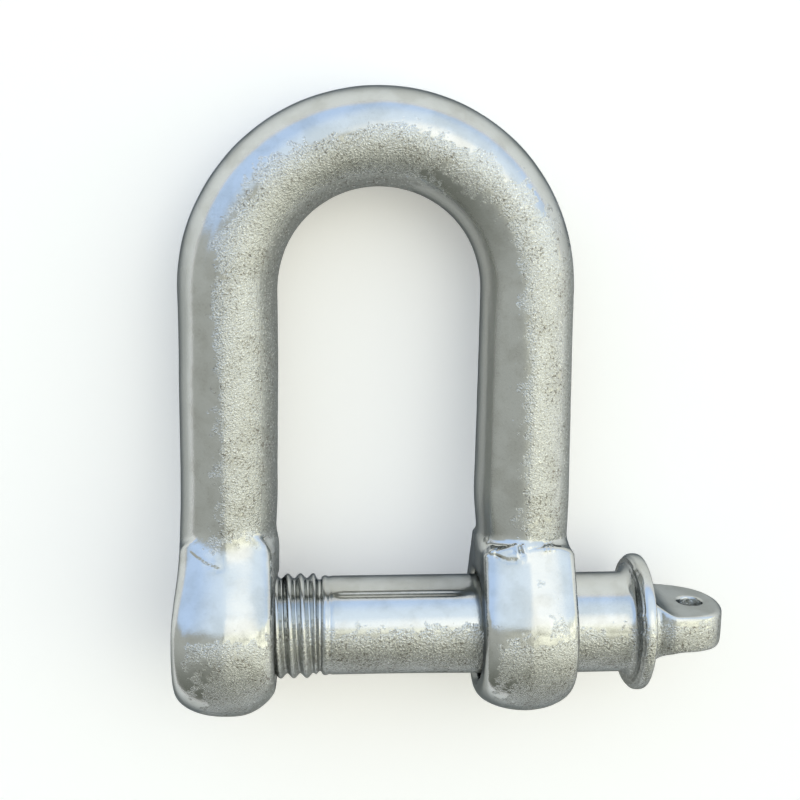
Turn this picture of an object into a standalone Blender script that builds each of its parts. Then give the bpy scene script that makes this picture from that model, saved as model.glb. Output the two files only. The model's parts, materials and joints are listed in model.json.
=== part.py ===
"""Forged, hot dip galvanised dee shackle that joins two lengths of chain, with its screw pin.

The shackle is two forgings: the bow with its two eyes, and the pin with its collar and its
flattened tab. It is modelled lying flat, as it comes to rest: X runs along the pin, Y towards
the crown of the bow, Z up. It then tips a little, so that both eyes and the crown touch the ground.
"""

import math

import bmesh
import bpy
from mathutils import Vector

# Bow. The bar is a little heavier on the side of the tapped eye, as it was forged.
LEG_GAP = 0.0378
EYE_GAP = 0.0394
CHAIN_LENGTH = 0.0750
TAPPED_LEG_DIAMETER = 0.0182
PLAIN_LEG_DIAMETER = 0.0174
CROWN_DIAMETER = 0.0178

# Eyes: upset discs with a rounded rim, flat faces and a shoulder under each leg.
EYE_DIAMETER = 0.0340
TAPPED_EYE_THICKNESS = 0.0188
PLAIN_EYE_THICKNESS = 0.0172
TAPPED_RIM_DROP = 0.0048
PLAIN_RIM_DROP = 0.0036
RIM_SQUARENESS = 2.15
SHOULDER_HEIGHT = 0.0188
SHOULDER_DEPTH = 0.0282
SHOULDER_RADIUS = 0.0050
SHOULDER_FILLET = 0.0042
BORE_CHAMFER = 0.0005

# Pin: a coarse thread with crests rounded by zinc, a plain shank, a collar and a flattened tab.
SHANK_DIAMETER = 0.0190
THREAD_DIAMETER = 0.0198
THREAD_PITCH = 0.0025
THREAD_DEPTH = 0.0014
THREAD_LENGTH = 0.0142
THREAD_RUNOUT = 0.0014
THREAD_START = math.radians(155)
TIP_CHAMFER = 0.0012
TIP_SETBACK = 0.0005
COLLAR_DIAMETER = 0.0266
COLLAR_THICKNESS = 0.0019
COLLAR_EDGE = 0.0005
COLLAR_FILLET = 0.0012
NECK_DIAMETER = 0.0174
NECK_LENGTH = 0.0052
TAB_LENGTH = 0.0166
TAB_WIDTH = 0.0205
TAB_THICKNESS = 0.0067
TAB_END_RADIUS = 0.0125
TAB_EDGE = 0.0011
TAB_HOLE_DIAMETER = 0.0047
TAB_HOLE_FROM_COLLAR = 0.0101

# Fits. The pin is shown unscrewed by PIN_DRAWN_OUT from its seat against the plain eye, and
# turned so that the flats of its tab face the crown.
PLAIN_BORE_CLEARANCE = 0.0026
TAPPED_BORE_CLEARANCE = 0.0006
PIN_DRAWN_OUT = 0.0127
PIN_TURN = math.radians(90)

# Facets.
BAR_SIDES = 28
CROWN_STEPS = 20
RIM_STEPS = 8
EYE_ARC_STEPS = 26
SHOULDER_ARC_STEPS = 5
BORE_SIDES = 40
PIN_SIDES = 36
RINGS_PER_TURN = 6
HOLE_SIDES = 20

# Worked out from the sizes above.
EYE_RADIUS = EYE_DIAMETER / 2
CROWN_CENTRE_Y = SHANK_DIAMETER / 2 + CHAIN_LENGTH - LEG_GAP / 2
CROWN_RING_Y = CROWN_CENTRE_Y + LEG_GAP / 2 + CROWN_DIAMETER / 2
COLLAR_HOME_X = EYE_GAP / 2 + PLAIN_EYE_THICKNESS
COLLAR_REST_X = COLLAR_HOME_X + PIN_DRAWN_OUT
PIN_REACH = COLLAR_HOME_X + EYE_GAP / 2 + TAPPED_EYE_THICKNESS - TIP_SETBACK
TIP_X = COLLAR_REST_X + COLLAR_THICKNESS + TAB_LENGTH
REST_TILT = math.asin((EYE_RADIUS - CROWN_DIAMETER / 2) / CROWN_RING_Y)


def clear_scene():
    for thing in list(bpy.data.objects):
        bpy.data.objects.remove(thing, do_unlink=True)


def zinc_material(name, colour, roughness):
    material = bpy.data.materials.new(name)
    material.use_nodes = True
    shader = material.node_tree.nodes["Principled BSDF"]
    shader.inputs["Base Color"].default_value = (*colour, 1.0)
    shader.inputs["Metallic"].default_value = 1.0
    shader.inputs["Roughness"].default_value = roughness
    return material


def smooth_step(amount):
    amount = min(max(amount, 0.0), 1.0)
    return amount * amount * (3 - 2 * amount)


def mix(start, end, amount):
    return start + (end - start) * amount


def loft(name, rings):
    """Joins rings of points, given in order, into one closed skin with a flat cap at each end."""
    mesh = bpy.data.meshes.new(name)
    shape = bmesh.new()
    loops = [[shape.verts.new(point) for point in ring] for ring in rings]
    for near, far in zip(loops, loops[1:]):
        for here in range(len(near)):
            after = (here + 1) % len(near)
            shape.faces.new((near[here], near[after], far[after], far[here]))
    shape.faces.new(reversed(loops[0]))
    shape.faces.new(loops[-1])
    bmesh.ops.recalc_face_normals(shape, faces=shape.faces)
    shape.to_mesh(mesh)
    shape.free()
    mesh.shade_smooth()
    mesh.set_sharp_from_angle(angle=math.radians(32))
    thing = bpy.data.objects.new(name, mesh)
    bpy.context.scene.collection.objects.link(thing)
    return thing


def as_tool(thing):
    """Marks an object as a shape that a Boolean uses and no render shows."""
    thing.hide_render = True
    thing.display_type = "WIRE"
    return thing


def combine(thing, tool, operation):
    boolean = thing.modifiers.new(tool.name, "BOOLEAN")
    boolean.object = tool
    boolean.operation = operation
    boolean.solver = "EXACT"


# The bow


def bar_section(centre, outward, half_width, half_depth):
    """An oval section of the bar: half_width along the direction outward, half_depth along Z."""
    up = Vector((0, 0, 1))
    ring = []
    for side in range(BAR_SIDES):
        turn = math.tau * side / BAR_SIDES
        ring.append(centre + outward * (half_width * math.cos(turn)) + up * (half_depth * math.sin(turn)))
    return ring


def leg_sections(side, leg_diameter, eye_thickness):
    """One leg from inside its eye up to the crown, swelling into a fillet above the shoulder."""
    radius = leg_diameter / 2
    leg_x = side * (LEG_GAP / 2 + radius)
    eye_x = side * (EYE_GAP / 2 + eye_thickness / 2)
    buried = min(radius, eye_thickness / 2 - BORE_CHAMFER)
    outward = Vector((side, 0, 0))
    fillet_top = SHOULDER_HEIGHT + SHOULDER_FILLET
    swell = SHOULDER_FILLET * 0.55
    sections = []
    for depth in (0.45, 0.78):
        centre = Vector((eye_x, SHOULDER_HEIGHT * depth, 0))
        sections.append(bar_section(centre, outward, buried, radius + swell))
    for turn in (0.0, 22.5, 45.0, 67.5, 90.0):
        angle = math.radians(turn)
        settled = smooth_step(turn / 90.0)
        y = fillet_top - SHOULDER_FILLET * math.cos(angle)
        centre = Vector((mix(eye_x, leg_x, settled), y, 0))
        half_width = mix(buried, radius, settled)
        sections.append(bar_section(centre, outward, half_width, radius + swell * (1 - math.sin(angle))))
    for height in (0.33, 0.67):
        centre = Vector((leg_x, mix(fillet_top, CROWN_CENTRE_Y, height), 0))
        sections.append(bar_section(centre, outward, radius, radius))
    return sections


def crown_sections():
    """The half round top of the bow, from the leg of the tapped eye to the leg of the plain eye."""
    sections = []
    for step in range(CROWN_STEPS + 1):
        angle = math.pi * (1 - step / CROWN_STEPS)
        leg_diameter = TAPPED_LEG_DIAMETER if step * 2 < CROWN_STEPS else PLAIN_LEG_DIAMETER
        radius = mix(leg_diameter, CROWN_DIAMETER, smooth_step(math.sin(angle))) / 2
        outward = Vector((math.cos(angle), math.sin(angle), 0))
        centre = Vector((0, CROWN_CENTRE_Y, 0)) + outward * (LEG_GAP / 2 + radius)
        sections.append(bar_section(centre, outward, radius, radius))
    return sections


def eye_outline(inset):
    """Side outline of an eye as (y, z) points: the hull of the round eye and two shoulder circles."""
    shoulder_y = SHOULDER_HEIGHT - SHOULDER_RADIUS
    shoulder_z = SHOULDER_DEPTH / 2 - SHOULDER_RADIUS
    reach = math.hypot(shoulder_y, shoulder_z)
    lean = math.atan2(shoulder_z, shoulder_y)
    tangent = lean + math.acos((EYE_RADIUS - SHOULDER_RADIUS) / reach)
    points = []
    for step in range(SHOULDER_ARC_STEPS + 1):
        angle = tangent * step / SHOULDER_ARC_STEPS
        radius = SHOULDER_RADIUS - inset
        points.append((shoulder_y + radius * math.cos(angle), shoulder_z + radius * math.sin(angle)))
    for step in range(EYE_ARC_STEPS + 1):
        angle = mix(tangent, math.tau - tangent, step / EYE_ARC_STEPS)
        radius = EYE_RADIUS - inset
        points.append((radius * math.cos(angle), radius * math.sin(angle)))
    for step in range(SHOULDER_ARC_STEPS + 1):
        angle = tangent * (step / SHOULDER_ARC_STEPS - 1)
        radius = SHOULDER_RADIUS - inset
        points.append((shoulder_y + radius * math.cos(angle), -shoulder_z + radius * math.sin(angle)))
    return points


def eye_blank(name, side, thickness, rim_drop):
    """An eye before it is bored: flat faces across X, and a rim rounded from face to face."""
    power = 2 / RIM_SQUARENESS
    middle = EYE_GAP / 2 + thickness / 2
    rings = []
    for step in range(RIM_STEPS + 1):
        turn = math.pi * (step / RIM_STEPS - 0.5)
        across = math.copysign(abs(math.sin(turn)) ** power, turn) * thickness / 2
        inset = rim_drop * (1 - abs(math.cos(turn)) ** power)
        x = side * (middle + across)
        rings.append([Vector((x, y, z)) for y, z in eye_outline(inset)])
    return as_tool(loft(name, rings))


def bore_cutter(name, side, thickness, diameter):
    """A plain bore along X with a small chamfer where it breaks out of each face."""
    radius = diameter / 2
    near = EYE_GAP / 2
    far = near + thickness
    outside = 4 * BORE_CHAMFER
    profile = [
        (near - outside, radius + BORE_CHAMFER + outside),
        (near + BORE_CHAMFER, radius),
        (far - BORE_CHAMFER, radius),
        (far + outside, radius + BORE_CHAMFER + outside),
    ]
    rings = []
    for x, size in profile:
        turns = [math.tau * step / BORE_SIDES for step in range(BORE_SIDES)]
        rings.append([Vector((side * x, size * math.cos(turn), size * math.sin(turn))) for turn in turns])
    return as_tool(loft(name, rings))


def build_bow(material):
    tapped_leg = leg_sections(-1, TAPPED_LEG_DIAMETER, TAPPED_EYE_THICKNESS)
    plain_leg = leg_sections(1, PLAIN_LEG_DIAMETER, PLAIN_EYE_THICKNESS)
    bow = loft("shackle_body", tapped_leg + crown_sections() + plain_leg[::-1])
    bow.data.materials.append(material)
    tapped_bore = THREAD_DIAMETER + TAPPED_BORE_CLEARANCE
    plain_bore = SHANK_DIAMETER + PLAIN_BORE_CLEARANCE
    tools = [
        (eye_blank("tapped_eye_blank", -1, TAPPED_EYE_THICKNESS, TAPPED_RIM_DROP), "UNION"),
        (eye_blank("plain_eye_blank", 1, PLAIN_EYE_THICKNESS, PLAIN_RIM_DROP), "UNION"),
        (bore_cutter("tapped_bore_cutter", -1, TAPPED_EYE_THICKNESS, tapped_bore), "DIFFERENCE"),
        (bore_cutter("plain_bore_cutter", 1, PLAIN_EYE_THICKNESS, plain_bore), "DIFFERENCE"),
    ]
    for tool, operation in tools:
        combine(bow, tool, operation)
    return [bow] + [tool for tool, operation in tools]


# The pin. Its origin is the middle of the collar's inner face, and X points out to the tab.


def round_section(x, radius):
    turns = [math.tau * side / PIN_SIDES for side in range(PIN_SIDES)]
    return [Vector((x, radius * math.cos(turn), radius * math.sin(turn))) for turn in turns]


def flattened_section(x, half_width, half_thickness):
    """A round section pressed flat on its two sides along Z."""
    ring = []
    for point in round_section(x, half_width):
        point.z = min(max(point.z, -half_thickness), half_thickness)
        ring.append(point)
    return ring


def thread_section(x):
    """A section through the right hand thread. The crest runs round the pin as x moves along it."""
    shank = SHANK_DIAMETER / 2
    crest = THREAD_DIAMETER / 2
    tip_x = -PIN_REACH
    from_tip = (x - tip_x) / TIP_CHAMFER
    to_shank = (tip_x + THREAD_LENGTH + THREAD_RUNOUT - x) / THREAD_RUNOUT
    ring = []
    for side in range(PIN_SIDES):
        turn = math.tau * side / PIN_SIDES
        wave = 0.5 + 0.5 * math.cos(math.tau * (x - tip_x) / THREAD_PITCH - THREAD_START - turn)
        radius = crest - THREAD_DEPTH * (1 - wave)
        radius = mix(shank, radius, smooth_step(to_shank))
        radius -= TIP_CHAMFER * max(0.0, 1 - from_tip)
        ring.append(Vector((x, radius * math.cos(turn), radius * math.sin(turn))))
    return ring


def thread_sections():
    ring_pitch = THREAD_PITCH / RINGS_PER_TURN
    count = round((THREAD_LENGTH + THREAD_RUNOUT) / ring_pitch)
    length = THREAD_LENGTH + THREAD_RUNOUT
    return [thread_section(-PIN_REACH + length * step / count) for step in range(count + 1)]


def collar_sections():
    """The collar, with a fillet against the shank on one side and the neck on the other."""
    shank = SHANK_DIAMETER / 2
    rim = COLLAR_DIAMETER / 2
    neck = NECK_DIAMETER / 2
    soft = 0.3
    profile = [
        (-COLLAR_FILLET, shank),
        (-COLLAR_FILLET * soft, shank + COLLAR_FILLET * soft),
        (0.0, shank + COLLAR_FILLET),
        (0.0, rim - COLLAR_EDGE),
        (COLLAR_EDGE * soft, rim - COLLAR_EDGE * soft),
        (COLLAR_EDGE, rim),
        (COLLAR_THICKNESS - COLLAR_EDGE, rim),
        (COLLAR_THICKNESS - COLLAR_EDGE * soft, rim - COLLAR_EDGE * soft),
        (COLLAR_THICKNESS, rim - COLLAR_EDGE),
        (COLLAR_THICKNESS, neck + COLLAR_FILLET),
        (COLLAR_THICKNESS + COLLAR_FILLET * soft, neck + COLLAR_FILLET * soft),
    ]
    return [round_section(x, radius) for x, radius in profile]


def tab_sections():
    """The tab: a round neck that flattens as it widens, then an end rounded in plan and on its edge."""
    start = COLLAR_THICKNESS + COLLAR_FILLET
    end = COLLAR_THICKNESS + TAB_LENGTH
    half_width = TAB_WIDTH / 2
    half_thickness = TAB_THICKNESS / 2
    neck = NECK_DIAMETER / 2
    neck_end = COLLAR_THICKNESS + NECK_LENGTH
    sections = []
    for step in range(6):
        along = step / 5
        x = mix(start, neck_end, along)
        settled = smooth_step(along)
        sections.append(flattened_section(x, mix(neck, half_width, settled), mix(neck, half_thickness, settled)))
    end_angle = math.asin(half_width / TAB_END_RADIUS)
    for step in range(7):
        angle = end_angle * (1 - step / 6)
        edge = TAB_EDGE * smooth_step(step / 6)
        width = TAB_END_RADIUS * math.sin(angle)
        x = end - TAB_END_RADIUS * (1 - math.cos(angle))
        sections.append(flattened_section(x, max(width, TAB_EDGE), half_thickness - edge))
    return sections


def build_pin(material):
    pin = loft("screw_pin", thread_sections() + collar_sections() + tab_sections())
    pin.data.materials.append(material)
    hole_x = COLLAR_THICKNESS + TAB_HOLE_FROM_COLLAR
    rings = []
    for z in (-TAB_THICKNESS, TAB_THICKNESS):
        turns = [math.tau * step / HOLE_SIDES for step in range(HOLE_SIDES)]
        radius = TAB_HOLE_DIAMETER / 2
        rings.append([Vector((hole_x + radius * math.cos(turn), radius * math.sin(turn), z)) for turn in turns])
    drill = as_tool(loft("tab_hole_cutter", rings))
    drill.parent = pin
    combine(pin, drill, "DIFFERENCE")
    pin.location = (COLLAR_REST_X, 0, 0)
    pin.rotation_euler = (PIN_TURN, 0, 0)
    return pin


def resting_pose():
    """An empty on the pin's axis that lays the shackle on the ground, centred over the origin."""
    pose = bpy.data.objects.new("resting_pose", None)
    bpy.context.scene.collection.objects.link(pose)
    left = -(EYE_GAP / 2 + TAPPED_EYE_THICKNESS)
    front = -EYE_RADIUS
    back = CROWN_RING_Y * math.cos(REST_TILT) + CROWN_DIAMETER / 2
    pose.rotation_euler = (-REST_TILT, 0, 0)
    pose.location = (-(left + TIP_X) / 2, -(front + back) / 2, EYE_RADIUS)
    return pose


def main():
    clear_scene()
    pose = resting_pose()
    bow_and_tools = build_bow(zinc_material("galvanised_bow", (0.60, 0.62, 0.63), 0.38))
    pin = build_pin(zinc_material("galvanised_pin", (0.64, 0.66, 0.67), 0.34))
    for thing in bow_and_tools + [pin]:
        thing.parent = pose


main()
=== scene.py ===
"""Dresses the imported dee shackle: its forged bow with two eyes, and the screw pin.

Shapes are worked out in millimetres as the shackle lies on a bench: X runs along the pin towards
its tab, Y from the pin to the crown, Z up. lay_down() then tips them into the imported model's place.
"""

import json
import math
from types import SimpleNamespace

import bmesh
import bpy
import numpy as np
from bpy.props import FloatProperty, FloatVectorProperty, PointerProperty
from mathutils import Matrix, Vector, noise


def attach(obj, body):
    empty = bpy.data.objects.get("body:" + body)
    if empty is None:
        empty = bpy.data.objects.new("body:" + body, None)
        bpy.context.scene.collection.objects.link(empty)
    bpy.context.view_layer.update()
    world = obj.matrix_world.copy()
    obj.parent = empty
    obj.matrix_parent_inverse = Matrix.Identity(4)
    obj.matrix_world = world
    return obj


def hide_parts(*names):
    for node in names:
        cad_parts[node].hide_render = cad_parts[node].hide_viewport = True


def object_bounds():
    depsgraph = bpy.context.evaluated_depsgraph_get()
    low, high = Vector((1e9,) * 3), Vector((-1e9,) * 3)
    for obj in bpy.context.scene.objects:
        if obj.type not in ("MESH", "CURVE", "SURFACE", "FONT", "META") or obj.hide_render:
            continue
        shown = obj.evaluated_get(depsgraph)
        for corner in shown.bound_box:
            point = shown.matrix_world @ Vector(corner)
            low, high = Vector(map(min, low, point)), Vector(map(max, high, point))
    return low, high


bl_info = {
    "name": "Screw Pin Shackle",
    "version": (1, 0, 0),
    "blender": (4, 5, 0),
    "location": "3D View > Sidebar > Shackle",
    "description": "Makes a galvanised dee shackle with its screw pin, and a stage to look at it on",
    "category": "Add Mesh",
}

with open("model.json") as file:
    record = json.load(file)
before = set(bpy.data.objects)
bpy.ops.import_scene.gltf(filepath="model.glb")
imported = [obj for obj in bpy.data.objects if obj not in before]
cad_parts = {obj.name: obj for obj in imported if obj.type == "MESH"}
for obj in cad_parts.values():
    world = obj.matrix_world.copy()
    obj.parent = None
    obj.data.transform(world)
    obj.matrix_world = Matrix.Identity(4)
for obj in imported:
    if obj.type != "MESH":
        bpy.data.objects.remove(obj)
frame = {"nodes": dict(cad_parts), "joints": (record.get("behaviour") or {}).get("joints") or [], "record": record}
CAD_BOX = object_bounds()

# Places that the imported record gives: the seat of the collar, and the way that the crown lies.
PIN_PLACE = Vector(frame["joints"][0]["pos_m"])
TO_CROWN = Vector(frame["record"]["mounts"][0]["axis"])
COLLAR_X = 49.6
METRE = 0.001


def length(name, default, description):
    return FloatProperty(name=name, description=description, default=default, unit="LENGTH", precision=4)


def colour(name, default, description):
    return FloatVectorProperty(
        name=name, description=description, default=default, size=3, subtype="COLOR", min=0.0, max=1.0
    )


def share(name, default, description):
    return FloatProperty(name=name, description=description, default=default, min=0.0, max=1.0)


class BowSettings(bpy.types.PropertyGroup):
    """Sizes of the forged bow and its eyes."""

    leg_gap: length("Leg gap", 0.0375, "Clear width between the legs")
    tapped_face: length("Tapped face", 0.0197, "From the middle to the inner face of the tapped eye")
    plain_face: length("Plain face", 0.0193, "From the middle to the inner face of the plain eye")
    crown_height: length("Crown height", 0.0656, "From the pin's axis to the centre of the crown")
    tapped_leg: length("Tapped leg", 0.0182, "Diameter of the leg above the tapped eye")
    plain_leg: length("Plain leg", 0.0174, "Diameter of the leg above the plain eye")
    crown: length("Crown", 0.0178, "Diameter of the bar in the crown")
    eye: length("Eye", 0.0340, "Diameter of each eye")
    tapped_eye: length("Tapped eye", 0.0188, "Thickness of the tapped eye")
    plain_eye: length("Plain eye", 0.0176, "Thickness of the plain eye")
    tapped_bore: length("Tapped bore", 0.0220, "Diameter of the hole that is tapped")
    plain_bore: length("Plain bore", 0.0216, "Diameter of the hole that the shank passes")
    unevenness: length("Unevenness", 0.00010, "How far the forged skin rises and falls")
    mesh: length("Mesh", 0.00058, "Size of the faces of the bow")


class PinSettings(bpy.types.PropertyGroup):
    """Sizes of the screw pin."""

    shank: length("Shank", 0.0190, "Diameter of the plain shank")
    thread: length("Thread", 0.0201, "Diameter over the crests of the thread")
    pitch: length("Pitch", 0.0025, "Distance from crest to crest")
    thread_depth: length("Thread depth", 0.00095, "From crest to root")
    thread_length: length("Thread length", 0.0142, "Threaded end of the pin")
    reach: length("Reach", 0.0749, "From the collar to the tip")
    collar: length("Collar", 0.0266, "Diameter of the collar")
    collar_seat: length("Collar seat", 0.0003, "From the packed seat to the collar's inner face")
    collar_thickness: length("Collar thickness", 0.0023, "Thickness of the collar")
    neck: length("Neck", 0.0178, "Diameter where the tab leaves the collar")
    tab_length: length("Tab length", 0.0156, "From the collar to the end of the tab")
    tab_width: length("Tab width", 0.0212, "Width of the tab")
    tab_thickness: length("Tab thickness", 0.0071, "Thickness between the flats of the tab")
    tab_hole: length("Tab hole", 0.0047, "Diameter of the hole for the seizing wire")
    tab_shift: length("Tab shift", 0.0005, "From the pin's axis to the middle of the tab, towards the crown")
    hole_place: length("Hole place", 0.0123, "From the collar's inner face to the hole")


class ZincSettings(bpy.types.PropertyGroup):
    """The coat of zinc."""

    bright: colour("Bright zinc", (0.62, 0.635, 0.625), "Colour of smooth zinc")
    dull: colour("Dull zinc", (0.55, 0.56, 0.54), "Colour of the duller clouds")
    # Flank zinc is painted shade: a darker colour on the skin that turns from straight up and faces away from the
    # crown, standing for dark ground reflected there.
    flank: colour("Flank zinc", (0.41, 0.42, 0.405), "Colour of the painted_shade zinc on the flanks and below")
    speck: colour("Dark specks", (0.24, 0.225, 0.20), "Colour of the pits in the grainy zinc")
    glint: colour("Light specks", (0.80, 0.81, 0.79), "Colour of the crystals in the grainy zinc")
    edge: colour("Edge tint", (0.15, 0.17, 0.19), "Tint of the zinc where it is seen at a low angle")
    bow_grain: length("Bow grain", 0.00034, "Size of the grain on the bow")
    pin_grain: length("Pin grain", 0.00042, "Size of the grain on the pin")
    smooth: share("Smooth finish", 0.14, "Roughness of the bright zinc")
    rough: share("Rough finish", 0.24, "Roughness of the duller clouds")


class StageSettings(bpy.types.PropertyGroup):
    """Floor, lamp and camera."""

    floor: colour("Floor", (0.95, 0.935, 0.915), "Colour of the floor")
    glow: share("Floor glow", 0.19, "How much the floor is lifted towards white")
    key_tint: colour("Key tint", (1.0, 0.985, 0.93), "Colour of the large lamp")
    key_power: FloatProperty(name="Key power", description="Power of the large lamp", default=0.55)
    lens: FloatProperty(name="Lens", description="Focal length", default=52.78, unit="CAMERA")


# Shapes by distance. Each function takes points as rows of (x, y, z) in millimetres.


def smooth_step(amount):
    amount = np.clip(amount, 0.0, 1.0)
    return amount * amount * (3 - 2 * amount)


def rise_over(value, start, reach):
    """From 0 to 1, as a value goes from a start over a reach."""
    return smooth_step((value - start) / reach)


def mix(start, end, amount):
    return start + (end - start) * amount


def changed(size, amount):
    """A size that is given with its change."""
    return size[0] + size[1] * amount


def join_softly(one, other, reach):
    """Distance to the nearer of two shapes, with a fillet of that reach between them."""
    near = np.maximum(reach - np.abs(one - other), 0.0) / reach
    return np.minimum(one, other) - near * near * reach / 4


def cut_softly(shape, hole, reach):
    return -join_softly(-shape, hole, reach)


# Where each change in the bow's shape starts, and over how many millimetres it runs.
LEG_THINS = (20.0, 45.0)
LEG_SETTLES = (13.0, 15.0)
RIDGE_FADES = (45.0, 22.0)
EYE_TOP = (3.0, 14.0)
EYE_FOOT = (5.0, 9.0)
OUTER_SIDE = (25.0, 6.0)
UPPER_SIDE = (0.0, 9.0)

# Sizes of the bow that both sides share, in millimetres. A pair is a size and its change.
LEG_END = 7.0
RIDGE_REACH = 4.5
RIDGE_PITCH = 0.15
RIM_BLUNT = (0.15, 2.6)
UPPER_FILLET = (1.8, -0.6)
BORE_ROUNDING = 0.9

# What the two sides of the bow have of their own, in millimetres: the tapped side, then the plain one.
# The legs swell and spread towards the eyes, and the bar leans inwards as it goes into them.
LEG_SWELL = (0.0, 0.45)
LEG_SPREAD = (0.38, 0.15)
LEG_RIDGE_X = (28.5, 28.0)
EYE_LEAN = (0.35, 0.0)
INNER_FILLET = (2.6, 3.0)
OUTER_FILLET = (0.8, 1.2)

# The blank of each eye. Its top lies against the leg, and its foot is the far end of the rim.
# shoulder: centre (Y and Z) and radius of the rounded corner that reaches up the leg.
# lean: how far the middle lies inwards, at the top and at the foot.
# ridge: how far inwards the ridge round the rim lies, everywhere and at the foot.
# thinner: how much thinner the top is.
# roll: how far the rolled rim reaches, in the middle and at the foot, and how much more at the top.
# square: how square the rolled rim is, in the middle and at the foot.
# outward, inward: pitch of the rim on each side of the ridge, everywhere and at the foot.
TAPPED_BLANK = SimpleNamespace(
    shoulder=(20.2, 7.4, 0.8),
    lean=(0.65, 0.0),
    ridge=(0.5, 2.3),
    thinner=0.45,
    roll=(3.0, 5.0, 1.2),
    square=(2.6, 2.25),
    outward=(0.10, -0.06),
    inward=(0.10, 0.16),
)
PLAIN_BLANK = SimpleNamespace(
    shoulder=(17.4, 8.6, 1.6),
    lean=(0.0, 0.3),
    ridge=(0.1, -0.9),
    thinner=0.1,
    roll=(1.9, 3.8, 0.5),
    square=(3.1, 2.3),
    outward=(0.09, -0.05),
    inward=(0.11, 0.02),
)


def roof(away, reach, pitch):
    """How far a skin falls away on both sides of a ridge, to meet it at that pitch."""
    gone = np.clip(np.abs(away) / reach, 0.0, 1.0)
    return pitch * reach / 2 * (1 - (1 - gone) ** 2)


class Bow:
    """The bow's sizes in millimetres, and the distance from a point to its skin."""

    def __init__(self, settings):
        for name in BowSettings.__annotations__:
            setattr(self, name, getattr(settings, name) / METRE)
        self.tapped_middle = self.tapped_face + self.tapped_eye / 2
        self.plain_middle = self.plain_face + self.plain_eye / 2

    def bar(self, points):
        """The round bar: two legs that settle into their eyes, a blunt ridge along each, and the crown."""
        x, y, z = points.T
        left = x < 0
        side = np.where(left, -1.0, 1.0)
        width = np.where(left, self.tapped_leg, self.plain_leg)
        thickness = np.where(left, self.tapped_eye, self.plain_eye)
        low = 1 - rise_over(y, *LEG_THINS)
        radius = width / 2 + np.where(left, *LEG_SWELL) * low
        leg_x = self.leg_gap / 2 + width / 2 + np.where(left, *LEG_SPREAD) * low
        eye_x = np.where(left, self.tapped_middle, self.plain_middle) - np.where(left, *EYE_LEAN)
        settled = rise_over(y, *LEG_SETTLES)
        centre_x = mix(eye_x, leg_x, settled)
        half_width = mix(np.minimum(radius, thickness / 2 - 0.3), radius, settled)
        across = (side * x - centre_x) / half_width
        deep = z / radius
        out = np.hypot(across, deep) + 1e-6
        slope = np.hypot(across / half_width, deep / radius) / out
        leg = (out - 1) / slope
        ridge = side * x - np.where(left, *LEG_RIDGE_X)
        fade = (1 - rise_over(y, *RIDGE_FADES)) * smooth_step(np.abs(deep) * 1.6 - 0.6)
        leg = leg + roof(ridge, RIDGE_REACH, RIDGE_PITCH) * fade
        leg = np.maximum(leg, LEG_END - y)
        over = np.maximum(y - self.crown_height, 0.0)
        angle = np.arctan2(over, x)
        thick = mix(radius, self.crown / 2, smooth_step(np.sin(angle)))
        ring = np.hypot(x, over) - (self.leg_gap / 2 + thick)
        crown = np.hypot(ring, z) - thick
        return np.where(y > self.crown_height, crown, leg)

    def eye_outline(self, y, z, shoulder):
        """Distance, in the side view, to the hull of the round eye and its two shoulders."""
        radius = self.eye / 2
        corner_y, corner_z, corner_radius = shoulder
        z = np.abs(z)
        tangent = math.atan2(corner_z, corner_y)
        tangent += math.acos((radius - corner_radius) / math.hypot(corner_z, corner_y))
        flank = y * math.cos(tangent) + z * math.sin(tangent) - radius
        arc = np.where(np.arctan2(z, y) >= tangent, np.hypot(y, z) - radius, flank)
        from_corner = np.arctan2(z - corner_z, y - corner_y)
        in_corner = (from_corner >= 0) & (from_corner <= tangent)
        round_corner = np.hypot(y - corner_y, z - corner_z) - corner_radius
        corner = np.where(in_corner, round_corner, np.maximum(y - corner_y - corner_radius, flank))
        return np.maximum(arc, corner)

    def eye_blank(self, points, side):
        """One eye before it is bored: a blunt ridge runs round its rim, between two flatter bands."""
        x, y, z = points.T
        blank = TAPPED_BLANK if side < 0 else PLAIN_BLANK
        middle = self.tapped_middle if side < 0 else self.plain_middle
        half = (self.tapped_eye if side < 0 else self.plain_eye) / 2
        top = rise_over(y, *EYE_TOP)
        foot = rise_over(-y, *EYE_FOOT)
        away = side * x - middle + blank.ridge[0] + blank.ridge[1] * foot
        middle = middle - blank.lean[0] * top - blank.lean[1] * foot
        narrow = half - blank.thinner * top
        roll = mix(blank.roll[0], blank.roll[1], foot) + blank.roll[2] * top
        square = mix(blank.square[0], blank.square[1], foot)
        pitch = np.where(away > 0, changed(blank.outward, foot), changed(blank.inward, foot))
        blunt = changed(RIM_BLUNT, foot)
        outline = self.eye_outline(y, z, blank.shoulder) + pitch * (np.hypot(away, blunt) - blunt)
        across = np.abs((side * x - middle) / narrow) + 1e-6
        inset = np.maximum(1e-6, 1 + outline / roll)
        size = (inset**square + across**square) ** (1 / square)
        slope = np.hypot(inset ** (square - 1) / roll, across ** (square - 1) / narrow)
        slope = slope / size ** (square - 1)
        return (size - 1) / slope

    def distance(self, points):
        """Distance to the bow's skin. The collar turns on the outer faces, so their fillets are small."""
        x, y, z = points.T
        shape = self.bar(points)
        outer = rise_over(np.abs(x), *OUTER_SIDE)
        reach = mix(np.where(x < 0, *INNER_FILLET), np.where(x < 0, *OUTER_FILLET), outer)
        reach = mix(reach, changed(UPPER_FILLET, outer), rise_over(np.abs(z), *UPPER_SIDE))
        shape = join_softly(shape, self.eye_blank(points, -1), reach)
        shape = join_softly(shape, self.eye_blank(points, 1), reach)
        bore = np.where(x < 0, self.tapped_bore, self.plain_bore) / 2
        hole = np.hypot(y, z) - bore
        return cut_softly(shape, hole, BORE_ROUNDING)


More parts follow.
